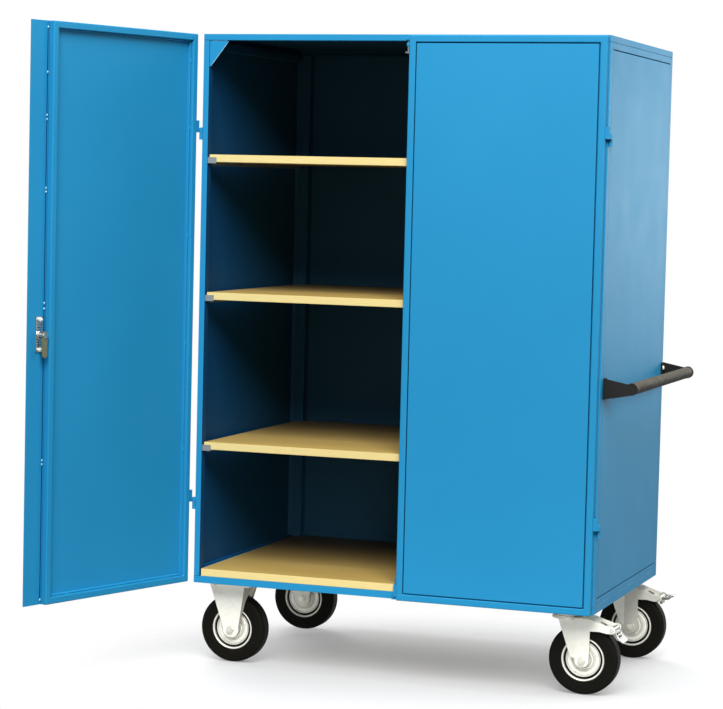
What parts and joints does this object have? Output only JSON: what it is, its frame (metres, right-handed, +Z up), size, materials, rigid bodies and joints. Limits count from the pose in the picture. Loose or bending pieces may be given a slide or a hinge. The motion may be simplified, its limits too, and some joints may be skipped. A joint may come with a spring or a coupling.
{
  "type": "cupboard trolley",
  "caption": "Tall steel cupboard on castors with hinged leaves, wooden shelves and a side push handle, for moving and locking away housekeeping supplies",
  "frame": {"origin": "middle of the whole outline on the floor with the left leaf open as stored", "axes": "+Z up, +X to the right and +Y to the back of the cupboard seen from its front"},
  "size_m": [1.5454, 1.3906, 1.832],
  "materials": {
    "body": "blue powder coat",
    "boards": "bare plywood with a light edge",
    "ledge_metal": "galvanised sheet",
    "zinc_metal": "bright zinc plating",
    "lock_chrome": "polished plating",
    "cam_metal": "yellow passivated plating",
    "bracket_plastic": "black moulded plastic",
    "handle_coat": "dark grey sleeve on tube",
    "tyre_rubber": "black solid rubber"
  },
  "bodies": {
    "cabinet": {"base_frame": "body", "castor_bearers": "body", "front_posts": "body", "rear_posts": "body", "top_rails": "body", "roof_tray": "body", "left_side_panel": "body", "right_side_panel": "body", "back_panel": "body", "corner_gussets": "body", "load_floor": "boards", "lower_shelf": "boards", "middle_shelf": "boards", "upper_shelf": "boards", "shelf_ledges": "ledge_metal", "handle_tube": "handle_coat", "front_handle_bracket": "bracket_plastic", "rear_handle_bracket": "bracket_plastic", "handle_screws": "zinc_metal", "left_body_hinges": "body", "right_body_hinges": "body", "bolt_keepers": "body", "castor_bolts": "zinc_metal", "front_fixed_fork": "zinc_metal", "rear_fixed_fork": "zinc_metal", "fixed_axles": "zinc_metal", "front_swivel_plate": "zinc_metal", "rear_swivel_plate": "zinc_metal"},
    "left_leaf": {"left_leaf_frame": "body", "left_leaf_panel": "body", "left_leaf_hinges": "body", "overlap_strip": "body", "lock_escutcheon": "lock_chrome", "lock_back_plate": "lock_chrome", "lock_nut": "lock_chrome", "lock_screws": "zinc_metal"},
    "lock": {"lock_lever": "lock_chrome", "lock_cam": "cam_metal", "lock_cap": "lock_chrome"},
    "right_leaf": {"right_leaf_frame": "body", "right_leaf_panel": "body", "right_leaf_hinges": "body", "bolt_guides": "body"},
    "top_slide_bolt": {"top_bolt": "zinc_metal"},
    "bottom_slide_bolt": {"bottom_bolt": "zinc_metal"},
    "front_swivel": {"front_swivel_fork": "zinc_metal", "front_swivel_pins": "zinc_metal"},
    "rear_swivel": {"rear_swivel_fork": "zinc_metal", "rear_swivel_pins": "zinc_metal"},
    "front_pedal": {"front_brake_pedal": "zinc_metal"},
    "rear_pedal": {"rear_brake_pedal": "zinc_metal"},
    "front_fixed_wheel": {"front_fixed_tyre": "tyre_rubber", "front_fixed_rim": "zinc_metal"},
    "rear_fixed_wheel": {"rear_fixed_tyre": "tyre_rubber", "rear_fixed_rim": "zinc_metal"},
    "front_swivel_wheel": {"front_swivel_tyre": "tyre_rubber", "front_swivel_rim": "zinc_metal"},
    "rear_swivel_wheel": {"rear_swivel_tyre": "tyre_rubber", "rear_swivel_rim": "zinc_metal"}
  },
  "joints": [
    {"name": "left_leaf_swing", "type": "hinge", "parent": "cabinet", "child": "left_leaf", "pos_m": [-0.52854, -0.0825, 1.036], "axis": [0, 0, 1], "range_deg": [-71.5, 108.5]},
    {"name": "lock_turn", "type": "hinge", "parent": "left_leaf", "child": "lock", "pos_m": [-0.754, -0.6542, 0.982], "axis": [-0.9483, 0.3173, 0], "range_deg": [0, 90]},
    {"name": "right_leaf_swing", "type": "hinge", "parent": "cabinet", "child": "right_leaf", "pos_m": [0.68286, -0.0825, 1.036], "axis": [0, 0, 1], "range_deg": [0, 110]},
    {"name": "top_bolt_slide", "type": "slide", "parent": "right_leaf", "child": "top_slide_bolt", "axis": [0, 0, 1], "range_m": [0, 0.01]},
    {"name": "bottom_bolt_slide", "type": "slide", "parent": "right_leaf", "child": "bottom_slide_bolt", "axis": [0, 0, -1], "range_m": [0, 0.01]},
    {"name": "front_swivel_turn", "type": "hinge", "parent": "cabinet", "child": "front_swivel", "pos_m": [0.58216, 0.0083, 0.215], "axis": [0, 0, 1], "continuous": true},
    {"name": "front_swivel_wheel_spin", "type": "hinge", "parent": "front_swivel", "child": "front_swivel_wheel", "pos_m": [0.63216, 0.0083, 0.1], "axis": [0, 1, 0], "continuous": true},
    {"name": "front_pedal_press", "type": "hinge", "parent": "front_swivel", "child": "front_pedal", "pos_m": [0.71616, 0.0083, 0.19], "axis": [0, 1, 0], "range_deg": [-60, 0]},
    {"name": "front_fixed_wheel_spin", "type": "hinge", "parent": "cabinet", "child": "front_fixed_wheel", "pos_m": [-0.42784, 0.0083, 0.1], "axis": [0, 1, 0], "continuous": true},
    {"name": "rear_swivel_turn", "type": "hinge", "parent": "cabinet", "child": "rear_swivel", "pos_m": [0.58216, 0.5983, 0.215], "axis": [0, 0, 1], "continuous": true},
    {"name": "rear_swivel_wheel_spin", "type": "hinge", "parent": "rear_swivel", "child": "rear_swivel_wheel", "pos_m": [0.63216, 0.5983, 0.1], "axis": [0, 1, 0], "continuous": true},
    {"name": "rear_pedal_press", "type": "hinge", "parent": "rear_swivel", "child": "rear_pedal", "pos_m": [0.71616, 0.5983, 0.19], "axis": [0, 1, 0], "range_deg": [0, 60]},
    {"name": "rear_fixed_wheel_spin", "type": "hinge", "parent": "cabinet", "child": "rear_fixed_wheel", "pos_m": [-0.42784, 0.5983, 0.1], "axis": [0, 1, 0], "continuous": true}
  ]
}
